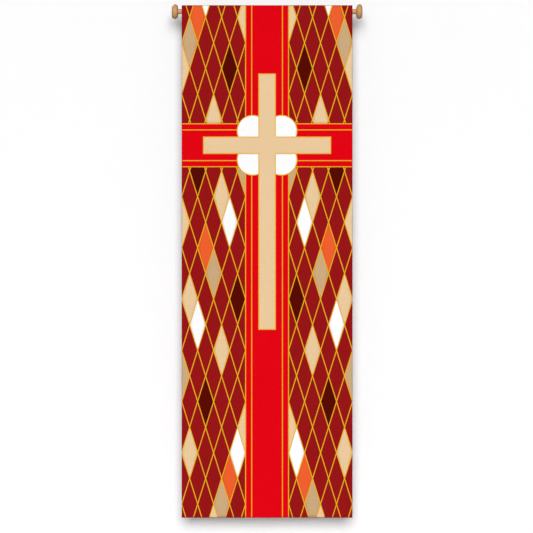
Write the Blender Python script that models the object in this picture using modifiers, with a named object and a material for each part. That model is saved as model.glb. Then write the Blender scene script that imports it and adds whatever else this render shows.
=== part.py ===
"""Church banner on a wooden rod.

A dark red cloth, 1 m wide and 3 m long, hangs from a round wooden rod. The top of the
cloth is turned over to the back, where it makes a narrow heading and the pocket that
the rod runs through. Bright red bands, a white quatrefoil and a cream cross are sewn on
the front. A turned wooden knob closes each end of the rod.

Units are metres, +Z is up. The origin is on the rod's axis, at the middle of its
length. The rod runs along X and the front of the banner faces -Y.
"""
import math

import bmesh
import bpy

# Gap that neighbouring pieces keep
GAP = 0.0003

# Ground cloth
CLOTH_WIDTH = 1.000
CLOTH_LENGTH = 3.000
CLOTH_THICKNESS = 0.0015
CLOTH_TOP = 0.0353                 # height of the top edge above the rod's axis
SIDE_HEM = 0.025
SIDE_HEM_THICKNESS = 0.0014
SIDE_HEM_SETBACK = 0.0005          # the turned edge lies this far in from the fold
BOTTOM_HEM = 0.045
BOTTOM_HEM_THICKNESS = 0.0018      # two thin turns, a little more than one layer
HEM_OVERLAP = 0.0005               # how deep a turned hem is fused into the panel

# Rod pocket at the back of the cloth
HEADING_SEAM = 0.0205              # height of the seam under the heading
POCKET_SEAM = -0.0500              # height of the seam that closes the pocket
POCKET_ALLOWANCE = 0.012           # turned edge below that seam

# Rod and knobs
ROD_DIAMETER = 0.030
ROD_NECK = 0.022                   # bare rod between the cloth and a knob
KNOB_DIAMETER = 0.087
KNOB_THICKNESS = 0.036
KNOB_BORE_DEPTH = 0.025

# Pieces sewn on the front
PATCH_THICKNESS = 0.001
BAND_WIDTH = 0.2575
CROSSING_DROP = 0.820              # crossing of the bands, below the cloth's top edge
CROSS_TOP_DROP = 0.400
CROSS_FOOT_DROP = 1.900
CROSS_REACH = 0.375                # from the middle to the end of a side arm
CROSS_ARM_WIDTH = 0.1025
LOBE_OFFSET = 0.084                # centre of each lobe, across and up from the crossing
LOBE_RADIUS = 0.0935

# Smoothness of round stretches
ROUND_STEPS = 48
POCKET_STEPS = 24
FOLD_STEPS = 6
RIM_STEPS = 12
LOBE_STEPS = 24

# Colours, as they look in daylight (0 to 255)
DARK_RED = (150, 22, 23)
BRIGHT_RED = (228, 6, 21)
WHITE = (252, 252, 252)
CREAM = (235, 203, 156)
BEECH = (196, 150, 103)

# Heights and depths that follow from the sizes above
ROD_RADIUS = ROD_DIAMETER / 2
POCKET_RADIUS = ROD_RADIUS + GAP
CLOTH_BACK = -POCKET_RADIUS
CLOTH_FRONT = CLOTH_BACK - CLOTH_THICKNESS
CLOTH_BOTTOM = CLOTH_TOP - CLOTH_LENGTH
CROSSING = CLOTH_TOP - CROSSING_DROP
KNOB_INNER_FACE = CLOTH_WIDTH / 2 + ROD_NECK


def clear_scene():
    for item in list(bpy.data.objects):
        bpy.data.objects.remove(item, do_unlink=True)


def make_collection(name):
    collection = bpy.data.collections.new(name)
    bpy.context.scene.collection.children.link(collection)
    return collection


def move_to(item, collection):
    for current in list(item.users_collection):
        current.objects.unlink(item)
    collection.objects.link(item)


def linear(colour):
    """Turn a 0 to 255 display colour into the linear values that a shader takes."""
    shares = [channel / 255 for channel in colour]
    return [c / 12.92 if c <= 0.04045 else ((c + 0.055) / 1.055) ** 2.4 for c in shares]


def make_material(name, colour, roughness):
    material = bpy.data.materials.new(name)
    material.use_nodes = True
    shader = material.node_tree.nodes["Principled BSDF"]
    shader.inputs["Base Color"].default_value = (*linear(colour), 1.0)
    shader.inputs["Roughness"].default_value = roughness
    shader.inputs["Metallic"].default_value = 0.0
    return material


def arc(centre, radius, start, end, steps):
    """Points of an arc, both ends included; angles are in radians."""
    angles = [start + (end - start) * step / steps for step in range(steps + 1)]
    return [
        (centre[0] + radius * math.cos(a), centre[1] + radius * math.sin(a))
        for a in angles
    ]


def outline_curve(name, outlines, thickness):
    """A flat outline in the local XY plane, filled and extruded along local Z."""
    curve = bpy.data.curves.new(name, "CURVE")
    curve.dimensions = "2D"
    curve.fill_mode = "BOTH"
    curve.extrude = thickness / 2
    for points in outlines:
        spline = curve.splines.new("POLY")
        spline.points.add(len(points) - 1)
        for point, (x, y) in zip(spline.points, points):
            point.co = (x, y, 0.0, 1.0)
        spline.use_cyclic_u = True
    return bpy.data.objects.new(name, curve)


def curve_to_mesh(curve_object, collection):
    """Replace a curve object by a mesh object of the same name, place and shape."""
    name = curve_object.name
    collection.objects.link(curve_object)
    bpy.context.view_layer.update()
    depsgraph = bpy.context.evaluated_depsgraph_get()
    mesh = bpy.data.meshes.new_from_object(curve_object.evaluated_get(depsgraph))
    work = bmesh.new()
    work.from_mesh(mesh)
    bmesh.ops.remove_doubles(work, verts=work.verts, dist=0.00001)
    bmesh.ops.recalc_face_normals(work, faces=work.faces)
    work.to_mesh(mesh)
    work.free()
    matrix = curve_object.matrix_world.copy()
    bpy.data.objects.remove(curve_object, do_unlink=True)
    mesh_object = bpy.data.objects.new(name, mesh)
    mesh_object.matrix_world = matrix
    collection.objects.link(mesh_object)
    return mesh_object


def pocket_tangent(seam_height):
    """Angle at which the pocket cloth, coming from a seam, meets the rod's back.

    The seam lies on the panel's back. From there one tangent to the pocket's round
    part is the panel itself, and the other is its mirror about the line from the
    rod's axis to the seam.
    """
    mirrored = 2 * math.atan2(seam_height, CLOTH_BACK) - math.pi
    return math.remainder(mirrored, 2 * math.pi)


def pocket_outside(angle, depth):
    """Where the outer side of the pocket's straight stretch reaches a given depth."""
    radius = POCKET_RADIUS + CLOTH_THICKNESS
    run = (radius * math.cos(angle) - depth) / math.sin(angle)
    return (depth, radius * math.sin(angle) + run * math.cos(angle))


def cloth_section():
    """Outer outline and pocket hole of the cloth, as (depth, height) points."""
    layers = 2 * CLOTH_THICKNESS
    heading_back = CLOTH_FRONT + layers
    hem_layers = CLOTH_THICKNESS + BOTTOM_HEM_THICKNESS
    hem_back = CLOTH_FRONT + hem_layers
    upper = pocket_tangent(HEADING_SEAM)
    lower = pocket_tangent(POCKET_SEAM)

    top_fold = (CLOTH_FRONT + layers / 2, CLOTH_TOP - layers / 2)
    bottom_fold = (CLOTH_FRONT + hem_layers / 2, CLOTH_BOTTOM + hem_layers / 2)
    seam = pocket_outside(lower, heading_back)
    outer = arc(top_fold, layers / 2, math.pi, 0.0, FOLD_STEPS)
    outer.append(pocket_outside(upper, heading_back))
    outer += arc((0.0, 0.0), POCKET_RADIUS + CLOTH_THICKNESS, upper, lower, POCKET_STEPS)
    outer.append(seam)
    outer.append((heading_back, seam[1] - POCKET_ALLOWANCE))
    outer.append((CLOTH_BACK, seam[1] - POCKET_ALLOWANCE))
    outer.append((CLOTH_BACK, CLOTH_BOTTOM + BOTTOM_HEM))
    outer.append((hem_back, CLOTH_BOTTOM + BOTTOM_HEM))
    outer += arc(bottom_fold, hem_layers / 2, 0.0, -math.pi, FOLD_STEPS)

    hole = [(CLOTH_BACK, HEADING_SEAM)]
    hole += arc((0.0, 0.0), POCKET_RADIUS, upper, lower, POCKET_STEPS)
    hole.append((CLOTH_BACK, POCKET_SEAM))
    return outer, hole


def build_cloth(collection, cutters):
    section = outline_curve("banner_cloth", cloth_section(), CLOTH_WIDTH)
    section.rotation_euler = (math.pi / 2, 0.0, math.pi / 2)
    cloth = curve_to_mesh(section, collection)

    seam = pocket_outside(pocket_tangent(POCKET_SEAM), CLOTH_BACK + CLOTH_THICKNESS)
    hem_top = seam[1] - POCKET_ALLOWANCE + HEM_OVERLAP
    hem_bottom = CLOTH_BOTTOM + BOTTOM_HEM - HEM_OVERLAP
    hem_depth = SIDE_HEM_THICKNESS + HEM_OVERLAP
    for side, name in ((-1, "side_hem_left"), (1, "side_hem_right")):
        bpy.ops.mesh.primitive_cube_add(size=1.0)
        hem = bpy.context.active_object
        hem.name = name
        hem.scale = (SIDE_HEM, hem_depth, hem_top - hem_bottom)
        hem.location = (
            side * (CLOTH_WIDTH / 2 - SIDE_HEM_SETBACK - SIDE_HEM / 2),
            CLOTH_BACK - HEM_OVERLAP + hem_depth / 2,
            (hem_top + hem_bottom) / 2,
        )
        hem.hide_render = True
        hem.display_type = "WIRE"
        move_to(hem, cutters)
        join = cloth.modifiers.new(name, "BOOLEAN")
        join.operation = "UNION"
        join.solver = "EXACT"
        join.object = hem
    return cloth


def rectangle(left, right, bottom, top):
    return [(left, bottom), (right, bottom), (right, top), (left, top)]


def cross_outline():
    half = CROSS_ARM_WIDTH / 2
    top = CLOTH_TOP - CROSS_TOP_DROP
    foot = CLOTH_TOP - CROSS_FOOT_DROP
    right_side = [
        (half, foot),
        (half, CROSSING - half),
        (CROSS_REACH, CROSSING - half),
        (CROSS_REACH, CROSSING + half),
        (half, CROSSING + half),
        (half, top),
    ]
    left_side = [(-x, z) for x, z in reversed(right_side)]
    return right_side + left_side


def quatrefoil_outline():
    """Four arcs, one round each lobe, that meet in cusps on the arms' middle lines."""
    cusp = math.sqrt(LOBE_RADIUS ** 2 - LOBE_OFFSET ** 2)
    first = math.atan2(-LOBE_OFFSET, cusp)
    last = math.atan2(cusp, -LOBE_OFFSET)
    points = []
    for quarter in range(4):
        turn = quarter * math.pi / 2
        towards = turn + math.pi / 4
        reach = LOBE_OFFSET * math.sqrt(2)
        centre = (reach * math.cos(towards), CROSSING + reach * math.sin(towards))
        points += arc(centre, LOBE_RADIUS, turn + first, turn + last, LOBE_STEPS)[:-1]
    return points


def build_patch(name, outline, layer, collection):
    """A thin sewn-on piece; layer 0 lies on the cloth, layer 1 on layer 0, and so on."""
    patch = outline_curve(name, [outline], PATCH_THICKNESS)
    patch.rotation_euler = (math.pi / 2, 0.0, 0.0)
    depth = GAP + PATCH_THICKNESS / 2 + layer * (GAP + PATCH_THICKNESS)
    patch.location = (0.0, CLOTH_FRONT - depth, 0.0)
    return curve_to_mesh(patch, collection)


def build_patches(collection):
    half = BAND_WIDTH / 2
    edge = CLOTH_WIDTH / 2
    upright = rectangle(-half, half, CLOTH_BOTTOM, CLOTH_TOP)
    left = rectangle(-edge, -half - GAP, CROSSING - half, CROSSING + half)
    right = rectangle(half + GAP, edge, CROSSING - half, CROSSING + half)
    return {
        "band_upright": build_patch("band_upright", upright, 0, collection),
        "band_left": build_patch("band_left", left, 0, collection),
        "band_right": build_patch("band_right", right, 0, collection),
        "quatrefoil": build_patch("quatrefoil", quatrefoil_outline(), 1, collection),
        "cross": build_patch("cross", cross_outline(), 2, collection),
    }


def build_rod(collection):
    length = 2 * (KNOB_INNER_FACE + KNOB_BORE_DEPTH - GAP)
    bpy.ops.mesh.primitive_cylinder_add(
        vertices=ROUND_STEPS, radius=ROD_RADIUS, depth=length, rotation=(0.0, math.pi / 2, 0.0)
    )
    rod = bpy.context.active_object
    rod.name = "rod"
    rod.data.shade_smooth()
    rod.data.set_sharp_from_angle(angle=math.radians(40))
    move_to(rod, collection)
    return rod


def knob_profile():
    """Half section of a knob, from the middle of its outer face to the bore's end."""
    rim_radius = KNOB_THICKNESS / 2
    rim_centre = KNOB_DIAMETER / 2 - rim_radius
    bore_end = -KNOB_THICKNESS / 2 + KNOB_BORE_DEPTH
    profile = [(0.0, KNOB_THICKNESS / 2)]
    profile += arc((rim_centre, 0.0), rim_radius, math.pi / 2, -math.pi / 2, RIM_STEPS)
    profile.append((ROD_RADIUS + GAP, -KNOB_THICKNESS / 2))
    profile.append((ROD_RADIUS + GAP, bore_end))
    profile.append((0.0, bore_end))
    return profile


def build_knob(name, side, collection):
    mesh = bpy.data.meshes.new(name)
    work = bmesh.new()
    points = [work.verts.new((x, 0.0, z)) for x, z in knob_profile()]
    for start, end in zip(points, points[1:]):
        work.edges.new((start, end))
    work.to_mesh(mesh)
    work.free()
    knob = bpy.data.objects.new(name, mesh)
    collection.objects.link(knob)
    turning = knob.modifiers.new("turning", "SCREW")
    turning.axis = "Z"
    turning.steps = ROUND_STEPS
    turning.render_steps = ROUND_STEPS
    turning.use_merge_vertices = True
    turning.merge_threshold = 0.00005
    turning.use_smooth_shade = True
    knob.location = (side * (KNOB_INNER_FACE + KNOB_THICKNESS / 2), 0.0, 0.0)
    knob.rotation_euler = (0.0, side * math.pi / 2, 0.0)
    return knob


def main():
    clear_scene()
    parts = make_collection("church_banner")
    cutters = make_collection("church_banner_cutters")
    frame = bpy.data.objects.new("banner_frame", None)
    parts.objects.link(frame)

    pieces = {"banner_cloth": build_cloth(parts, cutters)}
    pieces.update(build_patches(parts))
    pieces["rod"] = build_rod(parts)
    pieces["knob_left"] = build_knob("knob_left", -1, parts)
    pieces["knob_right"] = build_knob("knob_right", 1, parts)

    looks = {
        "banner_cloth": (DARK_RED, 0.75),
        "band_upright": (BRIGHT_RED, 0.70),
        "band_left": (BRIGHT_RED, 0.70),
        "band_right": (BRIGHT_RED, 0.70),
        "quatrefoil": (WHITE, 0.70),
        "cross": (CREAM, 0.65),
        "rod": (BEECH, 0.45),
        "knob_left": (BEECH, 0.45),
        "knob_right": (BEECH, 0.45),
    }
    for name, (colour, roughness) in looks.items():
        pieces[name].data.materials.append(make_material(name, colour, roughness))
        pieces[name].parent = frame


main()
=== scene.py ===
# %% [markdown]
# # A church banner on a wooden rod
# A church banner is a long cloth that hangs from a rod by a pocket at its back. This one
# has bright red bands, a white quatrefoil and a cream cross sewn on a dark red ground, a
# diamond lattice in gold satin stitch, and coloured panes in some of the diamonds.
# The measured solids come first. They fix every size, and the dressed pieces follow them.

# %% Load the measured solids
import math

import bmesh
import bpy
import numpy as np
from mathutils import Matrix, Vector


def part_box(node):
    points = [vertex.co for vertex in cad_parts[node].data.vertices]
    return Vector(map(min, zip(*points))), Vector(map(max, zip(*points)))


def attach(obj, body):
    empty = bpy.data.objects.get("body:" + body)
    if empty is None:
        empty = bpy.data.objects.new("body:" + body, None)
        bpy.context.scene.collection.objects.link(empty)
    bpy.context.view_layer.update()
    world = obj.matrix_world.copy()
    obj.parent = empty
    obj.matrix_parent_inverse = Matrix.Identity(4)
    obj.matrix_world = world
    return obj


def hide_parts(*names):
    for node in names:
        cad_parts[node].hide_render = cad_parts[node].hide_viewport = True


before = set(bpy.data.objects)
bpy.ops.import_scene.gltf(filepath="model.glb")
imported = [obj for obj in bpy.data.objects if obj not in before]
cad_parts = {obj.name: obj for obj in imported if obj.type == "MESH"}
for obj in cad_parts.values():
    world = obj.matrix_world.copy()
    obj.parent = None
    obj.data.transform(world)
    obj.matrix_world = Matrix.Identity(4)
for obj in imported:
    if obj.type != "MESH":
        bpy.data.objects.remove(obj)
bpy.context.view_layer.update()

print("solids:", sorted(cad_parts))

# %% [markdown]
# ## Sizes
# A maker works from the finished cloth: its four edges, the middle of the bands and the
# face that everything is sewn on. Reading them from the solids keeps the two models
# together, so only the sizes of real fabric and thread, and small margins, are new here.

# %% Read the main sizes
MM = 0.001

cloth_low, cloth_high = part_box("banner_cloth")
left_low, left_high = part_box("band_left")
rod_low, rod_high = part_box("rod")
SIDE = cloth_high.x
TOP = cloth_high.z
BOTTOM = cloth_low.z
FACE = cloth_low.y                      # front of the ground cloth
BAND_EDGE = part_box("band_upright")[1].x     # from the middle line to the band's edge
CROSSING = (left_low.z + left_high.z) / 2
ROD_RADIUS = (rod_high.z - rod_low.z) / 2

CLOTH_THICK = 0.7 * MM
LINE_WIDTH = 5.7 * MM                   # a gold line of satin stitch
LINE_HEIGHT = 0.9 * MM
END_MARGIN, SIDE_MARGIN = 1.7 * MM, 0.9 * MM    # keep sewn-on pieces off the cloth's folded edges
SEWN_TOP, SEWN_FOOT, SEWN_SIDE = TOP - END_MARGIN, BOTTOM + END_MARGIN, SIDE - SIDE_MARGIN
print("cloth", round(2 * SIDE, 3), "by", round(TOP - BOTTOM, 3), "m, crossing at z", round(CROSSING, 4))

# %% [markdown]
# ## How the cloth hangs
# A banner held straight by its rod is flat at the top and drifts a few millimetres out of
# true further down. A cloth simulation would give the same thing slowly and differently
# for each sewn layer. One small formula gives it at once, and because the ground, the
# bands, the panes and the threads all ask the same formula, they can't come apart.

# %% One formula for the drift of the cloth
FREE_FROM, FREE_OVER = -0.08, 1.1       # height where the pocket lets go, and over what length
# each flute's height in mm, width in m, start in turns, and lean in radians a metre
FLUTES = ((2.6, 0.64, 0.12, 0.35), (1.3, 0.37, 0.4, -0.8))
WAVE_HEIGHT, WAVE_LENGTH, WAVE_LEAN = 1.4, 1.15, 1.7    # of the level waves, in the same units
CURL, CURL_LENGTH = 3.5, 0.45           # of the foot's corners, in mm and m
LEFT_CURL = -0.7                        # the left corner's share, the other way


def smooth_step(value):
    value = np.clip(value, 0.0, 1.0)
    return value * value * (3 - 2 * value)


def drift(x, z):
    """How far the cloth at (x, z) lies behind a flat sheet, in metres."""
    x, z = np.asarray(x, float), np.asarray(z, float)
    waves = WAVE_HEIGHT * np.sin(2 * math.pi * z / WAVE_LENGTH + WAVE_LEAN * x)
    for height, width, start, lean in FLUTES:
        waves = waves + height * np.sin(2 * math.pi * (x / width + start) + lean * z)
    free = smooth_step((FREE_FROM - z) / FREE_OVER)
    foot = smooth_step((BOTTOM + CURL_LENGTH - z) / CURL_LENGTH)
    corners = CURL * foot * (np.abs(x) / SIDE) ** 3 * np.where(x > 0, 1.0, LEFT_CURL)
    return (free * waves + corners) * MM


def on_face(x, z, lift):
    """Points on the front of the hanging cloth, lifted off it by some thickness."""
    x, z, lift = np.broadcast_arrays(np.asarray(x, float), z, lift)
    return np.stack([x, FACE + drift(x, z) - lift, z], axis=-1)


sample = drift(np.linspace(-SIDE, SIDE, 41)[:, None], np.linspace(BOTTOM, TOP, 121)[None, :])
print("drift from", round(sample.min() / MM, 2), "to", round(sample.max() / MM, 2), "mm")

# %% [markdown]
# ## Turning points into pieces
# Every textile piece here is a sheet or a thread made from rows of points. One helper
# turns rows into quads and another makes the object, with a texture map in metres, so
# that a weave keeps its scale on every piece.


# %% Rows of points
def rows_to_quads(rows, columns, closed_across=False, closed_along=False):
    """Quads between neighbouring rows of points."""
    quads = []
    for row in range(rows if closed_along else rows - 1):
        here, there = row * columns, (row + 1) % rows * columns
        for column in range(columns if closed_across else columns - 1):
            beside = (column + 1) % columns
            quads.append((here + column, there + column, there + beside, here + beside))
    return quads


def run_along(points):
    """Distance from the first point to each, along the row."""
    return np.r_[0.0, np.cumsum(np.linalg.norm(np.diff(points, axis=0), axis=1))]


def unit(vectors):
    """The same directions, each of length 1."""
    return vectors / np.linalg.norm(vectors, axis=1, keepdims=True)


def side_by_side(columns):
    """One list of points from columns of them, row after row."""
    return np.stack(columns, axis=1).reshape(-1, columns[0].shape[-1])


print("two rows of three points make", len(rows_to_quads(2, 3)), "quads")


# %% Objects from points
def add_object(name, data):
    """Put a mesh, a lamp or a camera in the scene."""
    thing = bpy.data.objects.new(name, data)
    bpy.context.scene.collection.objects.link(thing)
    return thing


def make_piece(name, points, faces, texture, finish):
    """A mesh object with smooth faces and a texture map, riding on the banner's body."""
    mesh = bpy.data.meshes.new(name)
    mesh.from_pydata([tuple(p) for p in points], [], faces)
    corners = np.zeros(len(mesh.loops), int)
    mesh.loops.foreach_get("vertex_index", corners)
    texture_map = mesh.uv_layers.new(name="cloth")
    texture_map.data.foreach_set("uv", np.asarray(texture, float)[corners].ravel())
    mesh.polygons.foreach_set("use_smooth", [True] * len(mesh.polygons))
    mesh.materials.append(finish.material)
    piece = add_object(name, mesh)
    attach(piece, "root")
    print(name, "has", len(mesh.polygons), "faces")
    return piece


# %% Weld and thicken
WELD = 0.02 * MM


def edit_mesh(piece, change):
    """Make one change to a piece's mesh in its editable form."""
    work = bmesh.new()
    work.from_mesh(piece.data)
    change(work)
    work.to_mesh(piece.data)
    work.free()


def weld(work):
    """Merge points that coincide and drop what is left of the faces between them."""
    bmesh.ops.remove_doubles(work, verts=work.verts, dist=WELD)
    bmesh.ops.dissolve_degenerate(work, edges=work.edges, dist=WELD)
    loose = [vert for vert in work.verts if not vert.link_faces]
    bmesh.ops.delete(work, geom=loose, context="VERTS")


def thicken(piece, thickness, offset=-1.0):
    """Give a sheet its thickness; offset -1 adds it behind the face, 0 on both sides."""
    solid = piece.modifiers.new("thickness", "SOLIDIFY")
    solid.thickness = thickness
    solid.offset = offset
    solid.use_even_offset = False


print("welding merges points within", WELD / MM, "mm")

# %% [markdown]
# ## Finishes
# Fabric looks like fabric because of three things: a weave that catches the light, threads
# that aren't all equally thick or equally dyed, and a soft sheen along its fuzz. Each
# finish below builds those from the piece's own map in metres. The constant values, such
# as sheen and roughness, are typed into the shader, where other programs can read them.

# %% Colours
LAMP_SHARE = 0.96                       # under these lamps a full white would be too bright


def daylight(red, green, blue):
    """The linear colour that looks like this 0 to 255 colour, by the sRGB curve."""
    shares = [channel / 255 for channel in (red, green, blue)]
    linear = [c / 12.92 if c <= 0.04045 else ((c + 0.055) / 1.055) ** 2.4 for c in shares]
    return (*(LAMP_SHARE * c for c in linear), 1.0)


print("the whitest cloth reflects", round(daylight(255, 255, 255)[0], 2), "of the light")


# %% A finish and its shader nodes
class Finish:
    """A material, its nodes and its shader, and the slot of the record that it belongs to."""

    def __init__(self, name, slot=None, **shader_values):
        self.slot = slot
        self.material = bpy.data.materials.new(name)
        self.material.use_nodes = True
        self.tree = self.material.node_tree
        self.shader = self.tree.nodes["Principled BSDF"]
        for socket, value in shader_values.items():
            self.shader.inputs[socket.replace("_", " ")].default_value = value

    def node(self, kind, settings=None, **inputs):
        """Add a node; an input is a number, or another node's output."""
        node = self.tree.nodes.new(kind)
        for setting, value in (settings or {}).items():
            setattr(node, setting, value)
        for socket, value in inputs.items():
            index = int(socket[1:]) if socket[1:].isdigit() else socket.replace("_", " ")
            if isinstance(value, bpy.types.NodeSocket):
                self.tree.links.new(value, node.inputs[index])
            else:
                node.inputs[index].default_value = value
        return node

    def math(self, operation, first, second=0.0, third=0.0):
        settings = {"operation": operation}
        return self.node("ShaderNodeMath", settings, i0=first, i1=second, i2=third).outputs[0]

    def noise(self, place, scale, detail=2.0):
        """Noise from 0 to 1, with so many lumps to the metre in each direction."""
        spread = self.node("ShaderNodeVectorMath", {"operation": "MULTIPLY"}, i0=place, i1=scale)
        node = self.node("ShaderNodeTexNoise", Vector=spread.outputs[0], Scale=1.0, Detail=detail)
        return node.outputs["Fac"]

    def map(self):
        return self.node("ShaderNodeUVMap", {"uv_map": "cloth"}).outputs["UV"]

    def vary(self, bright, value, amount, middle=0.5):
        """Brightness changed by an amount for each unit that a value is above its middle."""
        above = self.math("SUBTRACT", value, middle) if middle else value
        return self.math("MULTIPLY_ADD", above, amount, bright)

    def shade(self, colour, bright):
        """Multiply a colour by a brightness that varies over the surface."""
        grey = self.node("ShaderNodeCombineColor", Red=bright, Green=bright, Blue=bright)
        mix = self.node(
            "ShaderNodeMix", {"data_type": "RGBA", "blend_type": "MULTIPLY"},
            i0=1.0, i6=colour, i7=grey.outputs[0],
        )
        self.tree.links.new(mix.outputs[2], self.shader.inputs["Base Color"])

    def bump(self, height):
        """Raise the surface by a height in millimetres."""
        node = self.node("ShaderNodeBump", Height=height, Distance=MM, Strength=1.0)
        self.tree.links.new(node.outputs["Normal"], self.shader.inputs["Normal"])


print("steps for building a finish:", [step for step in vars(Finish) if not step.startswith("_")])

# %% [markdown]
# A plain weave passes over and under in a chequer. The product of two sine waves, one for
# each thread direction, gives just that relief. Its absolute value is a hump at every
# crossing with a groove round it, which also goes into the colour, because light is lost
# between the threads. Long thin noise along each direction adds the slubs, and a slow noise
# adds the small unevenness of the dye. Dyed fibres colour their own gleam, so sheen and
# highlight take the colour of the cloth.

# %% Unevenness of threads and dye
SLUBS, SLUB_LENGTHS = 420.0, 9.0        # to the metre, across a thread and along it
DYE_PATCHES = (2.3, 1.7, 1.0)           # to the metre
RIPPLES = (24.0, 15.0, 1.0)
RIPPLE_HEIGHT = 0.5                     # how far flat cloth is out of true, in millimetres
SLUB_RELIEF = 0.8                       # beside a relief of 1 for the weave
FLOAT_PAINTED_LIGHT, GROOVE_PAINTED_SHADE, PIECE_SHADE = 0.04, 0.2, 0.02        # changes of brightness: painted light on the raised floats, painted shade in the grooves, a random tone for each piece
HUMP_MIDDLE = 0.4                       # mean of the humps, so that they keep the colour's mean
print("slubs are about", round(1 / SLUB_LENGTHS / MM), "mm long")


# %% Woven fabric
def woven(
    name, slot, colour, pitch=1.3 * MM, floats=1.0, stagger=0.0, slub=0.2, dye=0.06, relief=0.05,
    **shader_values,
):
    """Cloth with two threads to a pitch; floats is how many threads each passes over.

    stagger is the share of a float by which each warp thread is shifted from the last.
    """
    values = {"Roughness": 0.75, "Specular_IOR_Level": 0.2, "Specular_Tint": colour}
    values |= {"Sheen_Weight": 0.06, "Sheen_Roughness": 0.5, "Sheen_Tint": colour}
    finish = Finish(name, slot, **(values | shader_values))
    place = finish.map()
    across = finish.node("ShaderNodeSeparateXYZ", i0=place)
    turn = 2 * math.pi / pitch
    warp = finish.math("SINE", finish.math("MULTIPLY", across.outputs[0], turn))
    thread = finish.math("FLOOR", finish.math("MULTIPLY", across.outputs[0], 2 / pitch))
    shift = finish.math("MULTIPLY", thread, stagger * math.pi)
    weft = finish.math("SINE", finish.math("MULTIPLY_ADD", across.outputs[1], turn / floats, shift))
    weave = finish.math("MULTIPLY", warp, weft)
    humps = finish.math("ABSOLUTE", weave)
    down = finish.noise(place, (SLUBS, SLUB_LENGTHS, 1.0))
    along = finish.noise(place, (SLUB_LENGTHS, SLUBS, 1.0))
    threads = finish.math("ADD", down, along)
    patches = finish.noise(place, DYE_PATCHES, detail=3.0)
    island = finish.node("ShaderNodeNewGeometry").outputs["Random Per Island"]

    bright = finish.vary(1.0, threads, slub, middle=1.0)
    bright = finish.vary(bright, patches, 2 * dye)
    # painted light: the raised floats are made lighter than the low ones
    bright = finish.vary(bright, weave, FLOAT_PAINTED_LIGHT, middle=0.0)
    # painted shade: the grooves round each crossing are made darker
    bright = finish.vary(bright, humps, GROOVE_PAINTED_SHADE, middle=HUMP_MIDDLE)
    finish.shade(colour, finish.vary(bright, island, PIECE_SHADE, middle=0.0))

    raised = finish.math("MULTIPLY_ADD", threads, SLUB_RELIEF, finish.math("ADD", weave, humps))
    ripple = finish.noise(place, RIPPLES, detail=1.0)
    height = finish.math("MULTIPLY", raised, relief)
    finish.bump(finish.math("MULTIPLY_ADD", ripple, RIPPLE_HEIGHT, height))
    return finish


DARK_RED = woven("dark red cloth", "dark_red_cloth", daylight(151, 22, 24))
BRIGHT_RED = woven("bright red cloth", "bright_red_cloth", daylight(230, 6, 21))
DARK_BROWN = woven("dark brown cloth", "dark_brown_cloth", daylight(89, 12, 4))
print("plain weave has", len(DARK_RED.tree.nodes), "shader nodes")

# %% [markdown]
# The quatrefoil, the cross and all but the dark brown panes are cut from satin. Its warp
# floats over five threads before it dips under one, and each thread dips two further on than
# the last, so no line of dips shows. It has a finer pitch, less relief and more gloss.


# %% Satin for the sewn-on pieces
def satin(name, slot, colour):
    return woven(
        name, slot, colour, pitch=0.8 * MM, floats=5.0, stagger=0.4, slub=0.1, dye=0.04, relief=0.03,
        Roughness=0.48, Specular_IOR_Level=0.35,
    )


CREAM = satin("cream satin", "cream_cloth", daylight(234, 201, 157))
WHITE = satin("white satin", "white_cloth", daylight(254, 254, 254))
TAN = satin("tan satin", "tan_cloth", daylight(203, 168, 126))
ORANGE = satin("orange satin", "orange_cloth", daylight(238, 96, 47))
print("satin in", [finish.slot for finish in (CREAM, WHITE, TAN, ORANGE)])

# %% [markdown]
# Satin stitch lies side by side across the line, so its map runs along the line in metres
# and across it from 0 to 1. Fine ridges along the line are the single threads, and a noise
# that changes from thread to thread makes some of them catch more light.

# %% Embroidery and sewing thread
LUMPS, CROSS_LUMPS = 0.9, 1.6           # of noise, to a thread and across the line's width
STRETCHES = (14.0, 0.5, 1.0)            # slower changes of painted sheen, to a metre and across the width
# painted sheen along the line, and painted light on the crest of each thread
STRETCH_PAINTED_SHEEN, RIDGE_PAINTED_LIGHT = 0.08, 0.06
THREAD_RELIEF = 0.08                    # in millimetres


def stitched(name, slot, colour, pitch, contrast, **shader_values):
    """Threads side by side, a pitch apart; contrast is how much they differ in brightness."""
    values = {"Roughness": 0.42, "Specular_IOR_Level": 0.4, "Specular_Tint": colour}
    values |= {"Sheen_Weight": 0.08, "Sheen_Tint": colour}
    finish = Finish(name, slot, **(values | shader_values))
    place = finish.map()
    along = finish.node("ShaderNodeSeparateXYZ", i0=place).outputs[0]
    ridges = finish.math("SINE", finish.math("MULTIPLY", along, 2 * math.pi / pitch))
    threads = finish.noise(place, (LUMPS / pitch, CROSS_LUMPS, 1.0), detail=1.0)
    bright = finish.vary(1.0, threads, contrast)
    # painted sheen that comes and goes along the line
    bright = finish.vary(bright, finish.noise(place, STRETCHES), STRETCH_PAINTED_SHEEN)
    # painted light: each thread is made lighter on its crest and darker between threads
    finish.shade(colour, finish.vary(bright, ridges, RIDGE_PAINTED_LIGHT, middle=0.0))
    finish.bump(finish.math("MULTIPLY", finish.math("ADD", ridges, threads), THREAD_RELIEF))
    return finish


GOLD = stitched("gold satin stitch", "gold_thread", daylight(242, 184, 34), 0.9 * MM, 0.22)
GOLD_BACK = stitched("gold thread at the back", "gold_thread", daylight(186, 126, 40), 1.1 * MM, 0.24)
THREAD = stitched(
    "dark red sewing thread", "sewing_thread", daylight(126, 16, 18), 0.5 * MM, 0.1,
    Specular_IOR_Level=0.2,
)
print("satin stitch has", len(GOLD.tree.nodes), "shader nodes")

# %% [markdown]
# Beech is pale, even and finely marked: soft growth bands, a thin straight grain and short
# darker flecks. All three are noises stretched along the grain. The rod's grain runs along
# its length, and a knob is turned from a board, so its grain runs up and down.

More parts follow.
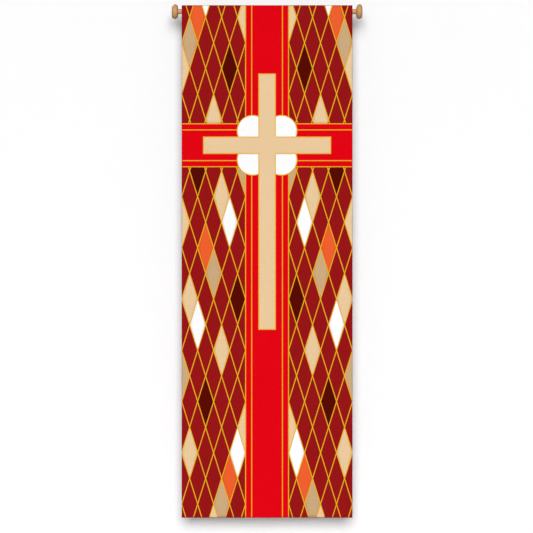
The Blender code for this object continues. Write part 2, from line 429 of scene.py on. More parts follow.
# %% Beech wood
BEECH_COLOUR = daylight(216, 163, 109)
BAND_SHADE, GRAIN_SHADE, FLECK_SHADE = 0.22, 0.12, -0.14
FLECK_FROM, FLECK_FULL = 0.62, 0.7      # a fleck is where its noise passes these
GRAIN_RELIEF = 0.022                    # in millimetres


def beech(name, grain):
    """Beech with its grain along one axis of the object, 0 for X and 2 for Z."""
    finish = Finish(
        name, "beech_wood", Roughness=0.55, Specular_IOR_Level=0.3, Coat_Weight=0.05, Coat_Roughness=0.3
    )
    place = finish.node("ShaderNodeTexCoord").outputs["Object"]

    def grained(along, across, detail):
        """Noise with so many lumps to the metre along the grain and across it."""
        return finish.noise(place, tuple(along if axis == grain else across for axis in range(3)), detail)

    bands = grained(along=3.0, across=70.0, detail=3.0)
    lines = grained(along=14.0, across=900.0, detail=2.0)
    flecks = grained(along=160.0, across=1500.0, detail=0.0)
    fleck = finish.node(
        "ShaderNodeMapRange", Value=flecks, From_Min=FLECK_FROM, From_Max=FLECK_FULL, To_Min=0.0, To_Max=1.0
    ).outputs[0]
    bright = finish.vary(finish.vary(1.0, bands, BAND_SHADE), lines, GRAIN_SHADE)
    finish.shade(BEECH_COLOUR, finish.vary(bright, fleck, FLECK_SHADE, middle=0.0))
    finish.bump(finish.math("MULTIPLY", finish.math("ADD", lines, bands), GRAIN_RELIEF))
    return finish


BEECH_ROD = beech("beech along the rod", 0)
BEECH_KNOB = beech("beech across the knob", 2)
print(len(bpy.data.materials), "materials in the file")

# %% [markdown]
# ## The ground cloth
# The real ground is one length of cloth. Its sides are turned to the back first, then the
# top is turned over as a heading with the rod pocket under it, and the foot is turned up.
# So it can be built the same way: one path from the pocket's turned edge, round the rod,
# over the top, down the front and up behind the foot, repeated for each column of points.
# The outer columns run round the side fold and come back as the side hem.

# %% Sizes of the pocket and the hems
HEADING_SEAM = 20.5 * MM                # heights of the two seams that make the pocket
POCKET_SEAM = -50.0 * MM
ALLOWANCE = 12.0 * MM
HEM_TOP = BOTTOM + 45.0 * MM            # upper edge of the foot's hem
PLAIN_GAP, HEM_GAP = 0.85 * MM, 2.4 * MM        # between front and turned layers
MIDDLE = FACE + CLOTH_THICK / 2         # depth of the middle of the front layer
POCKET_ROUND = ROD_RADIUS + 1.2 * MM    # from the rod's axis to the middle of the cloth round it
ROWS_DOWN, ROUND_ROWS, FOLD_ROWS = 150, 18, 7   # rows of points on each stretch of the path
SLANT_ROWS, SHORT_ROWS = 5, 3
print("the pocket's seams are", round((HEADING_SEAM - POCKET_SEAM) / MM, 1), "mm apart")


# %% The path of the cloth from the pocket to the foot
def line(start, end, count):
    """Points from start to end, without the end."""
    shares = np.arange(count)[:, None] / count
    return np.asarray(start) + shares * (np.asarray(end) - np.asarray(start))


def arc(centre, radius, start, end, count):
    angles = start + (end - start) * np.arange(count) / count
    return np.asarray(centre) + radius * np.stack([np.cos(angles), np.sin(angles)], axis=-1)


def touch_angle(point):
    """Where the straight cloth from a seam meets the round of the pocket, from behind."""
    towards = math.atan2(point[1], point[0])
    opening = math.acos(POCKET_ROUND / math.hypot(*point))
    return towards - opening if point[1] > 0 else towards + opening


def cloth_path(gap):
    """(depth, height) points along the cloth; gap parts the front and turned layers."""
    back = MIDDLE + gap
    upper, lower = (back, HEADING_SEAM), (back, POCKET_SEAM)
    start, end = touch_angle(lower), touch_angle(upper)
    touch = [POCKET_ROUND * np.array([math.cos(a), math.sin(a)]) for a in (start, end)]
    fold = gap / 2
    top = (MIDDLE + fold, TOP - fold - CLOTH_THICK / 2)
    foot = (MIDDLE + fold, BOTTOM + fold + CLOTH_THICK / 2)
    return np.concatenate([
        line((back, POCKET_SEAM - ALLOWANCE), lower, SHORT_ROWS),
        line(lower, touch[0], SLANT_ROWS),
        arc((0.0, 0.0), POCKET_ROUND, start, end, ROUND_ROWS),
        line(touch[1], upper, SLANT_ROWS),
        line(upper, (back, top[1]), SHORT_ROWS),
        arc(top, fold, 0.0, math.pi, FOLD_ROWS),
        line((MIDDLE, top[1]), (MIDDLE, foot[1]), ROWS_DOWN),
        arc(foot, fold, -math.pi, 0.0, FOLD_ROWS),
        line((back, foot[1]), (back, HEM_TOP), SLANT_ROWS),
        [(back, HEM_TOP)],
    ])


middle_path = cloth_path(PLAIN_GAP)

# %% [markdown]
# Turned edges lie on each other, so the layers must part where a side hem runs between
# them and close again beside it. The gap goes smoothly from one to the other.

# %% The columns of the cloth, with both side hems
SIDE_HEM = 25.0 * MM
HEM_STEP = 0.8 * MM                     # distance of a hem layer from the layer it lies on
FOLD_COLUMNS = 6
EDGE_COLUMNS = (6, 14, 24, 30, 36, 42, 50)      # mm from the side, closest beside the hem
INNER_EDGE, INNER_COLUMNS = SIDE - 68 * MM, 44


def side_fold(side):
    """(x, depth) points of a side hem, from its inner edge round the fold."""
    radius = HEM_STEP / 2
    centre = SIDE - CLOTH_THICK / 2 - radius
    inner = [(SIDE - SIDE_HEM, HEM_STEP), (SIDE - SIDE_HEM / 2, HEM_STEP)]
    angles = np.linspace(0.0, math.pi, FOLD_COLUMNS)
    turn = [(centre + radius * math.sin(a), radius * (1 + math.cos(a))) for a in angles]
    return [(side * x, depth) for x, depth in inner + turn]


near_edge = [SIDE - offset * MM for offset in EDGE_COLUMNS]
inside = np.linspace(-INNER_EDGE, INNER_EDGE, INNER_COLUMNS)
flat_part = [(x, 0.0) for x in (*(-x for x in near_edge), *inside, *reversed(near_edge))]
columns = side_fold(-1) + flat_part + side_fold(1)[::-1]
across_cloth = run_along(np.array(columns))

# %% Make the ground cloth
GAP_FROM, GAP_OVER = SIDE - 44 * MM, 18 * MM    # where the layers start to part, and how slowly


def build_ground():
    points, texture = [], []
    for (x, depth), across in zip(columns, across_cloth):
        beside_hem = float(smooth_step((abs(x) - GAP_FROM) / GAP_OVER))
        path = cloth_path(PLAIN_GAP + (HEM_GAP - PLAIN_GAP) * beside_hem)
        ahead = unit(np.gradient(path, axis=0))
        y = path[:, 0] - ahead[:, 1] * depth
        z = path[:, 1] + ahead[:, 0] * depth
        down = run_along(path)
        points.append(np.stack([np.full_like(y, x), y + drift(x, z), z], axis=-1))
        texture.append(np.stack([np.full_like(down, across), -down], axis=-1))
    quads = rows_to_quads(len(middle_path), len(columns))
    piece = make_piece("ground_cloth", side_by_side(points), quads, side_by_side(texture), DARK_RED)
    thicken(piece, CLOTH_THICK, 0.0)
    return piece


ground = build_ground()
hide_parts("banner_cloth")

# %% [markdown]
# ## Sheets cut to a shape
# Bands, quatrefoil and cross are cut from flat fabric and sewn on all round, which rounds
# their edges a little. A rule for the lift of each point is enough for that: it rises from
# the sewn edge over a few millimetres. Extra grid lines near the edges hold that curve.

# %% Places of grid lines
EDGE_STEPS = (0.0, 1.5 * MM, 4 * MM, 8 * MM, 14 * MM)   # of the grid lines from an edge
CREASE_STEPS = EDGE_STEPS[:4]
LEAST_STEP = 3 * MM
ROUNDING = 1e-9


def merged_lines(*groups):
    """All the grid lines in some groups, in order and each one once."""
    return np.array(sorted({round(float(place), 6) for group in groups for place in group}))


def lines_between(low, high, spacing=22 * MM, creases=()):
    """Grid lines from low to high, close together at both ends and round each crease."""
    near = [low + step for step in EDGE_STEPS] + [high - step for step in EDGE_STEPS]
    for crease in creases:
        near += [crease + side * step for step in CREASE_STEPS for side in (-1, 1)]
    start, end = low + EDGE_STEPS[-1], high - EDGE_STEPS[-1]
    count = max(1, round((end - start) / spacing))
    plain = [start + (end - start) * i / count for i in range(count + 1)]
    far = [p for p in plain if min(abs(p - n) for n in near) > LEAST_STEP]
    return merged_lines(p for p in near + far if low - ROUNDING <= p <= high + ROUNDING)


print("a metre of fabric gets", len(lines_between(0.0, 1.0)), "grid lines")

# %% A grid sheet that lies on the cloth
HELD_REACH = 6 * MM                     # how soon fabric stands up beside its stitches


def rise(distance, height=0.5 * MM, reach=HELD_REACH):
    """How far fabric stands up at some distance from the line that holds it down."""
    return height * (1 - np.exp(-np.maximum(distance, 0.0) / reach))


def laid_on(x, z, lift):
    """Points on the cloth for a grid of places, and their map in metres."""
    return on_face(x, z, lift).reshape(-1, 3), np.stack([x, z], axis=-1).reshape(-1, 2)


def grid_sheet(name, node, xs, zs, lift, thickness, finish, keep=None):
    """A sheet on the grid xs by zs, for a node; lift and keep are functions of x and z."""
    x, z = np.meshgrid(xs, zs)
    points, texture = laid_on(x, z, lift(x, z))
    # rows go up here, so the corners are turned to keep the face towards the front
    quads = [quad[::-1] for quad in rows_to_quads(len(zs), len(xs))]
    if keep is not None:
        centres = points[np.array(quads)].mean(axis=1)
        quads = [q for q, c in zip(quads, centres) if keep(c[0], c[2])]
        used = sorted({corner for quad in quads for corner in quad})
        place = {old: new for new, old in enumerate(used)}
        quads = [tuple(place[corner] for corner in quad) for quad in quads]
        points, texture = points[used], texture[used]
    piece = make_piece(name, points, quads, texture, finish)
    thicken(piece, thickness)
    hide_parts(node)
    return piece


print("fabric stands", round(rise(HELD_REACH) / MM, 2), "mm higher", HELD_REACH / MM, "mm from its stitches")

# %% [markdown]
# ## Bands
# The three red strips lie on the ground. Each is held down by the gold lines along its
# edges and by a second line further in, so it rises a little between them.

# %% Make the bands
BAND_HELD = 0.7 * MM                    # lift of the band's face where a line holds it
BAND_THICK = 0.5 * MM
OUTER_LINE = BAND_EDGE - LINE_WIDTH / 2
INNER_LINE = 90 * MM


def band_lift(offset):
    """Lift of a band at some offset from its middle."""
    offset = np.abs(offset)
    return BAND_HELD + rise(np.minimum(np.abs(offset - INNER_LINE), np.abs(BAND_EDGE - offset)))


across_band = lines_between(-BAND_EDGE, BAND_EDGE, spacing=25 * MM, creases=(-INNER_LINE, INNER_LINE))
upright = grid_sheet(
    "upright_band_cloth", "band_upright", across_band, lines_between(SEWN_FOOT, SEWN_TOP),
    lambda x, z: band_lift(x), BAND_THICK, BRIGHT_RED,
)
for name, node in (("left_band_cloth", "band_left"), ("right_band_cloth", "band_right")):
    low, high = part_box(node)
    grid_sheet(
        name, node, lines_between(max(low.x, -SEWN_SIDE), min(high.x, SEWN_SIDE)),
        across_band + CROSSING, lambda x, z: band_lift(z - CROSSING), BAND_THICK, BRIGHT_RED,
    )

# %% [markdown]
# ## Satin stitch lines
# A line of satin stitch is a low rounded ridge a few millimetres wide. A curve with a
# bevel would make a round cord, so the ridge is built from rings of points instead: a flat
# underside, two short sides and a rounded top. At the edge of a field the last ring is
# turned to lie along that edge, as the machine's last stitches do.

# %% Points and directions along a line
RING_SPACING = 15 * MM
SHARPEST_MITRE, SHARPEST_CUT = 0.5, 0.15        # least share of the way that is straight across


def route_points(corners, closed):
    """Points along straight stretches between corners, a ring spacing apart at most."""
    corners = [np.asarray(c, float) for c in corners]
    ends = corners[1:] + corners[:1] if closed else corners[1:]
    route = []
    for start, end in zip(corners, ends):
        count = max(1, math.ceil(math.dist(start, end) / RING_SPACING))
        route += [start + (end - start) * i / count for i in range(count)]
    return np.array(route if closed else route + [corners[-1]])


def sideways(route, closed, cuts):
    """For each point the vector to the ridge's left edge, one half width long."""
    if closed:
        before, after = np.roll(route, 1, axis=0), np.roll(route, -1, axis=0)
    else:
        before, after = np.vstack([route[:1], route[:-1]]), np.vstack([route[1:], route[-1:]])
    into, out = route - before, after - route
    into[~into.any(axis=1)] = out[~into.any(axis=1)]
    out[~out.any(axis=1)] = into[~out.any(axis=1)]
    out = unit(out)
    ahead = unit(unit(into) + out)
    left = np.stack([-ahead[:, 1], ahead[:, 0]], axis=-1)
    left /= np.maximum(np.abs((ahead * out).sum(axis=1, keepdims=True)), SHARPEST_MITRE)
    for index, edge in cuts.items():
        edge = np.asarray(edge, float)
        share = abs(float(edge @ np.array([-out[index][1], out[index][0]])))
        left[index] = edge * math.copysign(1 / max(share, SHARPEST_CUT), float(edge @ left[index]))
    return left


print("a metre of line has", len(route_points([(0.0, 0.0), (0.0, 1.0)], False)), "rings")

# %% A ridge of satin stitch along a route
# offset from the middle in half widths, and share of the height
RIDGE = ((-1.0, 0.25), (-0.8, 0.72), (-0.42, 0.95), (0.0, 1.0), (0.42, 0.95), (0.8, 0.72), (1.0, 0.25))
LINE_BASE = -0.2 * MM                   # the underside is sunk into the cloth
BEHIND_WIDTH, BEHIND_HEIGHT = 3.4 * MM, 0.35 * MM       # the same line seen from behind
# how the width varies: its share, and radians a metre along the line and across the cloth
UNEVEN = ((0.03, 410, 60), (0.02, 173, 0))


def satin_line(corners, lift, base=LINE_BASE, closed=False, cuts=None, behind=False):
    """Points, faces and map of one ridge; behind puts it on the back of the cloth."""
    width, height = (BEHIND_WIDTH, BEHIND_HEIGHT) if behind else (LINE_WIDTH, LINE_HEIGHT)
    route = route_points(corners, closed)
    left = sideways(route, closed, cuts or {})
    along = run_along(route)
    uneven = 1 + sum(share * np.sin(along * pace + route[:, 0] * lean) for share, pace, lean in UNEVEN)
    profile = [(-1.0, base)] + [(v, lift + h * height) for v, h in RIDGE] + [(1.0, base)]
    points, texture = [], []
    for offset, rise_here in profile:
        x, z = (route + left * (offset * width / 2) * uneven[:, None]).T
        z = np.clip(z, SEWN_FOOT, SEWN_TOP)
        points.append(on_face(x, z, -CLOTH_THICK - rise_here if behind else rise_here))
        texture.append(np.stack([along, np.full_like(along, (offset + 1) / 2)], axis=-1))
    rows, ring = len(route), len(profile)
    faces = rows_to_quads(rows, ring, closed_across=True, closed_along=closed)
    if not closed:
        faces.append(tuple(range(ring)))
        faces.append(tuple(range((rows - 1) * ring, rows * ring))[::-1])
    if behind:
        faces = [face[::-1] for face in faces]
    return side_by_side(points), faces, side_by_side(texture)


def join_parts(name, parts, finish):
    """One object from many ridges, panes or rows of stitches."""
    points, faces, texture, start = [], [], [], 0
    for part_points, part_faces, part_texture in parts:
        points.append(part_points)
        texture.append(part_texture)
        faces += [tuple(corner + start for corner in face) for face in part_faces]
        start += len(part_points)
    return make_piece(name, np.concatenate(points), faces, np.concatenate(texture), finish)


print("each ring of a line has", len(RIDGE) + 2, "points")

# %% [markdown]
# ## Gold lines on the bands
# Two lines run down each side of the upright band, one over its cut edge and one further
# in. The cross band has the same pair above and below, from the upright to the cloth's edge.

# %% Stitch the lines of the bands
UNDER = 0.05 * MM                       # level lines lie this much lower than the upright ones


def band_routes(top, foot, inner_end, outer_end):
    """Each band line's corners, and whether it is level; inner_end is a function of its offset."""
    for side in (-1, 1):
        for offset in (OUTER_LINE, INNER_LINE):
            yield [(side * offset, top), (side * offset, foot)], False
            for z in (CROSSING - offset, CROSSING + offset):
                yield [(side * inner_end(offset), z), (side * outer_end, z)], True


band_lines = [
    satin_line(corners, BAND_HELD - (UNDER if level else 0.0))
    for corners, level in band_routes(SEWN_TOP, SEWN_FOOT, lambda offset: BAND_EDGE - LINE_WIDTH, SEWN_SIDE)
]
gold_bands = join_parts("band_stitching", band_lines, GOLD)

# %% [markdown]
# ## The diamond lattice
# The four dark red fields carry a plain diamond lattice, as leaded windows and quilted
# cloths have. It is set out from the crossing: four diamonds side by side and each half a
# diamond higher than its neighbour. Its long straight lines are clipped to each field by
# working out where they meet the field's edges.

# %% Set out the lattice
DIAMONDS_ACROSS = 4
FIELD_IN, FIELD_OUT = OUTER_LINE, SEWN_SIDE     # fields start under the gold line of the band
DIAMOND_WIDTH = (SIDE - FIELD_IN) / DIAMONDS_ACROSS
DIAMOND_HEIGHT = 0.300
SLOPE = DIAMOND_HEIGHT / DIAMOND_WIDTH
OVERLAP = 0.2 * MM                      # the lines of one slope are stitched over the others
SHORTEST = 2 * MM                       # a shorter end of a line isn't stitched
UP, ACROSS = (0.0, 1.0), (1.0, 0.0)     # directions in which a line's end is cut

fields = [(CROSSING + OUTER_LINE, SEWN_TOP), (SEWN_FOOT, CROSSING - OUTER_LINE)]
print("diamonds", round(DIAMOND_WIDTH, 4), "by", DIAMOND_HEIGHT, "m")


def clipped(start_height, slope, low, high):
    """Ends and cuts of the line z = start_height + slope * (x - FIELD_IN) inside one field."""
    xs = sorted(FIELD_IN + (height - start_height) / slope for height in (low, high))
    left, right = max(FIELD_IN, xs[0]), min(FIELD_OUT, xs[1])
    if right - left < SHORTEST:
        return None
    ends = [(x, start_height + slope * (x - FIELD_IN)) for x in (left, right)]
    cuts = [UP if x in (FIELD_IN, FIELD_OUT) else ACROSS for x, _ in ends]
    return ends, {0: cuts[0], -1: cuts[1]}


def lattice_routes():
    """Ends, cuts and lift of every lattice line, for the right and left fields."""
    rise_across = SLOPE * (SIDE - FIELD_IN)
    count = math.ceil((TOP - BOTTOM + rise_across) / DIAMOND_HEIGHT)
    for low, high in fields:
        for slope, lift in ((SLOPE, OVERLAP), (-SLOPE, 0.0)):
            for step in range(-count, count + 1):
                found = clipped(CROSSING + step * DIAMOND_HEIGHT, slope, low, high)
                if found is not None:
                    ends, cuts = found
                    for side in (1, -1):
                        yield [(side * x, z) for x, z in ends], cuts, lift


# %% Stitch the lattice
lattice, behind_lines = [], []
for ends, cuts, lift in lattice_routes():
    base = LINE_BASE + lift / 2
    lattice.append(satin_line(ends, lift, base, cuts=cuts))
    behind_lines.append(satin_line(ends, lift / 2, base, cuts=cuts, behind=True))
gold_lattice = join_parts("lattice_stitching", lattice, GOLD)
print(len(lattice), "lattice lines")

# %% [markdown]
# ## Panes
# Some diamonds are filled with coloured cloth, cut to the diamond and caught under the
# gold stitches. A maker lays the colours out by counting: so many diamonds across, so many
# down, and start again. The same counting rule is used here, mirrored left and right.

# %% Count out the colours
REPEAT = 22
COUNT_ACROSS, COUNT_DOWN, COUNT_START = 5, 3, 11
# the counts that each colour takes, and its cloth
PANES = {
    "panes_cream": ((0, 18), CREAM),
    "panes_white": ((3,), WHITE),
    "panes_brown": ((7,), DARK_BROWN),
    "panes_orange": ((11,), ORANGE),
    "panes_tan": ((14,), TAN),
}


def pane_places(numbers):
    """Middles of the diamonds whose count falls on one of the numbers."""
    rows = math.ceil((TOP - BOTTOM) / (DIAMOND_HEIGHT / 2))
    for down in range(-rows, rows + 1):
        middle_z = CROSSING - down * DIAMOND_HEIGHT / 2
        for across in range(DIAMONDS_ACROSS + down % 2):
            shift = 0.0 if down % 2 else 0.5
            if (COUNT_ACROSS * across + COUNT_DOWN * down + COUNT_START) % REPEAT in numbers:
                yield FIELD_IN + DIAMOND_WIDTH * (across + shift), middle_z


print({name: len(list(pane_places(numbers))) for name, (numbers, finish) in PANES.items()})

# %% Cut and place the panes
LEAST_HEIGHT, LEAST_WIDTH = 60 * MM, 4 * MM     # a pane clipped to less isn't worth cutting
PANE_HELD, PANE_THICK = 0.35 * MM, 0.3 * MM
PANE_ROWS, PANE_COLUMNS = 13, 7


def pane_sheet(middle_x, middle_z, low, high, side):
    """Points, faces and map of one pane, clipped to its field and slightly raised."""
    top = min(high, middle_z + DIAMOND_HEIGHT / 2)
    foot = max(low, middle_z - DIAMOND_HEIGHT / 2)
    if top - foot < LEAST_HEIGHT:
        return None
    z = np.linspace(foot, top, PANE_ROWS)
    half = DIAMOND_WIDTH / 2 * (1 - np.abs(z - middle_z) / (DIAMOND_HEIGHT / 2))
    left, right = np.clip([middle_x - half, middle_x + half], FIELD_IN, FIELD_OUT)
    if (right - left).max() < LEAST_WIDTH:
        return None
    x = left[:, None] + (right - left)[:, None] * np.linspace(0.0, 1.0, PANE_COLUMNS)
    z = np.broadcast_to(z[:, None], x.shape)
    inset = np.minimum(x - left[:, None], right[:, None] - x)
    lift = PANE_HELD + rise(inset, height=0.35 * MM, reach=10 * MM)
    points, texture = laid_on(side * x, z, lift)
    quads = rows_to_quads(*x.shape)
    return points, [q[::-1] for q in quads] if side > 0 else quads, texture


for name, (numbers, finish) in PANES.items():
    sheets = [
        pane_sheet(middle_x, middle_z, low, high, side)
        for middle_x, middle_z in pane_places(numbers) for low, high in fields for side in (1, -1)
    ]
    pane = join_parts(name, [sheet for sheet in sheets if sheet], finish)
    edit_mesh(pane, weld)
    thicken(pane, PANE_THICK)

# %% [markdown]
# ## The quatrefoil
# A quatrefoil is four overlapping round lobes. Every point of its outline can be seen from
# its middle, so a fan of rays from there, each as long as the farthest lobe allows, gives
# a tidy grid of quads without cutting circles into each other.

# %% Make the quatrefoil
foil_low, foil_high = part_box("quatrefoil")
FOIL_REACH = (foil_high.x - foil_low.x) / 2
LOBE_OFFSET = 84 * MM
LOBE_RADIUS = FOIL_REACH - LOBE_OFFSET
FOIL_HELD, FOIL_THICK = 1.9 * MM, 0.5 * MM
RAYS = 128
RINGS = np.array([0.02, 0.25, 0.45, 0.6, 0.72, 0.82, 0.9, 0.95, 0.98, 1.0])     # shares of a ray


def foil_reach(angle, radius):
    """Distance from the middle to the outline, for lobes of some radius."""
    reach = LOBE_OFFSET * math.sqrt(2)
    turn = (angle % (math.pi / 2)) - math.pi / 4
    return reach * np.cos(turn) + np.sqrt(radius ** 2 - (reach * np.sin(turn)) ** 2)


def build_foil():
    angles = -2 * math.pi * np.arange(RAYS) / RAYS
    outline = foil_reach(angles, LOBE_RADIUS)
    radius = outline[:, None] * RINGS
    x = radius * np.cos(angles)[:, None]
    z = CROSSING + radius * np.sin(angles)[:, None]
    points, texture = laid_on(x, z, FOIL_HELD + rise(outline[:, None] - radius))
    faces = rows_to_quads(RAYS, len(RINGS), closed_along=True)
    faces.append(tuple(ray * len(RINGS) for ray in range(RAYS))[::-1])
    piece = make_piece("quatrefoil_cloth", points, faces, texture, WHITE)
    thicken(piece, FOIL_THICK)
    return piece


foil = build_foil()
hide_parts("quatrefoil")

rim_angles = math.pi * np.arange(2 * RAYS) / RAYS
rim_reach = foil_reach(rim_angles, LOBE_RADIUS - LINE_WIDTH / 2)
rim = [(r * math.cos(a), CROSSING + r * math.sin(a)) for a, r in zip(rim_angles, rim_reach)]
gold_foil = join_parts("quatrefoil_stitching", [satin_line(rim, FOIL_HELD, closed=True)], GOLD)

# %% [markdown]
# ## The cross
# The cross is cut in one piece, so it is one grid with the cells outside its two arms left
# out. Its edge is stitched over like the others, and the corners of the stitching are
# mitred, which the ridge helper does by itself where the route turns.

# %% Make the cross
cross_low, cross_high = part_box("cross")
ARM = 51.25 * MM                        # half the width of an arm
REACH = cross_high.x
CROSS_HELD, CROSS_THICK = 3.1 * MM, 0.6 * MM
CROSS_BASE = 0.8 * MM                   # underside of its stitching


def in_cross(x, z):
    return abs(x) < ARM or abs(z - CROSSING) < ARM


def cross_lift(x, z):
    """Lift of the cross, from the distance to its nearest edge."""
    from_side = np.minimum(ARM - np.abs(x), np.minimum(cross_high.z - z, z - cross_low.z))
    from_ends = np.minimum(ARM - np.abs(z - CROSSING), REACH - np.abs(x))
    return CROSS_HELD + rise(np.maximum(from_side, from_ends), height=0.7 * MM, reach=9 * MM)


across_arm = lines_between(-ARM, ARM, spacing=16 * MM)
cross = grid_sheet(
    "cross_cloth", "cross",
    merged_lines(lines_between(-REACH, -ARM), across_arm, lines_between(ARM, REACH)),
    merged_lines(
        lines_between(cross_low.z, CROSSING - ARM), across_arm + CROSSING,
        lines_between(CROSSING + ARM, cross_high.z),
    ),
    cross_lift, CROSS_THICK, CREAM, keep=in_cross,
)

# %% Stitch the edge of the cross
inset = LINE_WIDTH / 2
half = ARM - inset
right_side = [
    (half, cross_low.z + inset),
    (half, CROSSING - half),
    (REACH - inset, CROSSING - half),
    (REACH - inset, CROSSING + half),
    (half, CROSSING + half),
    (half, cross_high.z - inset),
]
cross_route = right_side + [(-x, z) for x, z in reversed(right_side)]
cross_line = satin_line(cross_route, CROSS_HELD, CROSS_BASE, closed=True)
gold_cross = join_parts("cross_stitching", [cross_line], GOLD)

# %% [markdown]
# ## The back of the embroidery
# Satin stitch goes right through the cloth, and an unlined banner shows it from behind as
# a flatter, duller copy of each line. The same routes are used again, on the back face.
# Where the pocket or a hem was turned over it afterwards, the stitching is hidden.

# %% Stitching seen from behind
for corners, _ in band_routes(FREE_FROM, HEM_TOP, lambda offset: offset, SIDE - SIDE_HEM):
    behind_lines.append(satin_line(corners, 0.0, behind=True))
for corners in (cross_route, rim):
    behind_lines.append(satin_line(corners, 0.0, closed=True, behind=True))
gold_back = join_parts("stitching_behind", behind_lines, GOLD_BACK)

# %% [markdown]
# ## Seams
# Hems and pocket are held by rows of straight stitches. Each stitch is a short thread that
# dips into the cloth at both ends, so a slim four-sided spindle is enough. They are small,
# but they are what a hem looks like when someone comes close.

# %% Rows of straight stitches
STITCH, STITCH_GAP, STITCH_THICK = 3.2 * MM, 1.0 * MM, 0.5 * MM
TIP, FOUR_SIDES = ((0, 0),), ((1, 0), (0, 1), (-1, 0), (0, -1))
SPINDLE = ((0.0, TIP), (0.25, FOUR_SIDES), (0.75, FOUR_SIDES), (1.0, TIP))      # along a stitch
SPINDLE_POINTS = 10


def stitch_row(start, end, depth):
    """Spindles along a row; depth(x, z) gives the y of the cloth's surface there."""
    start, end = np.asarray(start, float), np.asarray(end, float)
    length = float(np.linalg.norm(end - start))
    ahead = (end - start) / length
    beside = np.array([-ahead[1], ahead[0]])
    points, faces, texture = [], [], []
    for index in range(int(length // (STITCH + STITCH_GAP))):
        begin = index * (STITCH + STITCH_GAP)
        for share, ring in SPINDLE:
            middle = start + ahead * (begin + share * STITCH)
            y = float(depth(*middle))
            for across, out in ring:
                spot = middle + beside * across * STITCH_THICK / 2
                points.append((spot[0], y + out * STITCH_THICK / 2, spot[1]))
                texture.append((begin + share * STITCH, across))
        tip = SPINDLE_POINTS * index
        near, far = tip + 1, tip + 5
        for k in range(4):
            n = (k + 1) % 4
            faces.append((tip, near + k, near + n))
            faces.append((near + k, far + k, far + n, near + n))
            faces.append((far + k, far + 4, far + n))
    return np.array(points), faces, np.array(texture)


print("a metre of seam has", int(1 // (STITCH + STITCH_GAP)), "stitches")

# %% Sew the hems and the pocket
BAND_FACE = 1.1 * MM                    # lift of a band's face between its lines
ROW_X = SIDE - 20 * MM
ROW_FOOT = BOTTOM + 40 * MM
ROW_POCKET = POCKET_SEAM - 3 * MM
ROW_HEM = POCKET_SEAM - ALLOWANCE - 2 * MM      # the side hem shows from here down
ROW_END = SIDE - 2 * MM
LEVEL_ROWS = (HEADING_SEAM, ROW_POCKET, ROW_FOOT)


def face_depth(x, z):
    """Depth of the front surface, on the ground or on a band."""
    on_band = abs(x) < BAND_EDGE or abs(z - CROSSING) < BAND_EDGE
    return FACE + drift(x, z) - (BAND_FACE if on_band else 0.0)


def back_depth(layers):
    return lambda x, z: FACE + drift(x, z) + layers + CLOTH_THICK


front_rows = [stitch_row((-ROW_END, z), (ROW_END, z), face_depth) for z in LEVEL_ROWS]
back_rows = [stitch_row((-ROW_X, z), (ROW_X, z), back_depth(PLAIN_GAP)) for z in LEVEL_ROWS]
for x in (-ROW_X, ROW_X):
    front_rows.append(stitch_row((x, ROW_POCKET), (x, ROW_FOOT), face_depth))
    back_rows.append(stitch_row((x, ROW_HEM), (x, HEM_TOP), back_depth(HEM_STEP)))
seam_front = join_parts("seam_stitches_front", front_rows, THREAD)
seam_back = join_parts("seam_stitches_back", back_rows, THREAD)

# %% [markdown]
# ## Rod and knobs
# The rod is a plain dowel and each knob a disc with a fully rounded rim, both turned on a
# lathe. A lathe in code is a profile swept round an axis. The knob's grain must show, so
# its profile is sampled finely, and its inner end is open only as far as the rod fills it.

# %% Turn wood round the X axis
LATHE_STEPS = 96
SHARP = math.radians(45)


def turned(name, node, profile, finish):
    """A closed piece from (x, radius) points; the first and last lie on the axis."""
    angles = 2 * math.pi * np.arange(LATHE_STEPS) / LATHE_STEPS
    ring = profile[1:-1]
    points = [(x, r * math.cos(a), r * math.sin(a)) for a in angles for x, r in ring]
    texture = [(x, r * a) for a in angles for x, r in ring]
    faces = rows_to_quads(LATHE_STEPS, len(ring), closed_along=True)
    for end, x in ((0, profile[0][0]), (len(ring) - 1, profile[-1][0])):
        axis = len(points)
        points.append((x, 0.0, 0.0))
        texture.append((x, 0.0))
        for step in range(LATHE_STEPS):
            here, there = step * len(ring) + end, (step + 1) % LATHE_STEPS * len(ring) + end
            faces.append((axis, here, there) if end else (axis, there, here))
    piece = make_piece(name, points, faces, texture, finish)
    edit_mesh(piece, lambda work: bmesh.ops.recalc_face_normals(work, faces=work.faces))
    piece.data.set_sharp_from_angle(angle=SHARP)
    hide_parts(node)
    return piece


CHAMFER = 0.8 * MM
ROD_RINGS = np.linspace(-0.52, 0.52, 27)        # places along the rod, in metres
neck = ROD_RADIUS - CHAMFER
rod_profile = [(rod_low.x, 0.0), (rod_low.x, neck), (rod_low.x + CHAMFER, ROD_RADIUS)]
rod_profile += [(x, ROD_RADIUS) for x in ROD_RINGS]
rod_profile += [(rod_high.x - CHAMFER, ROD_RADIUS), (rod_high.x, neck), (rod_high.x, 0.0)]
rod = turned("rod_turned", "rod", rod_profile, BEECH_ROD)

# %% Turn the knobs
BORE_DEPTH, BORE_PLAY = 25 * MM, 0.2 * MM
MOUTH_CHAMFER = 0.6 * MM
RIM_POINTS, MOUTH_RINGS, FACE_RINGS = 25, 3, 6
OFF_BORE, OFF_RIM, OFF_FACE_ENDS = 2 * MM, 1 * MM, 3 * MM       # where rings on the flat faces start


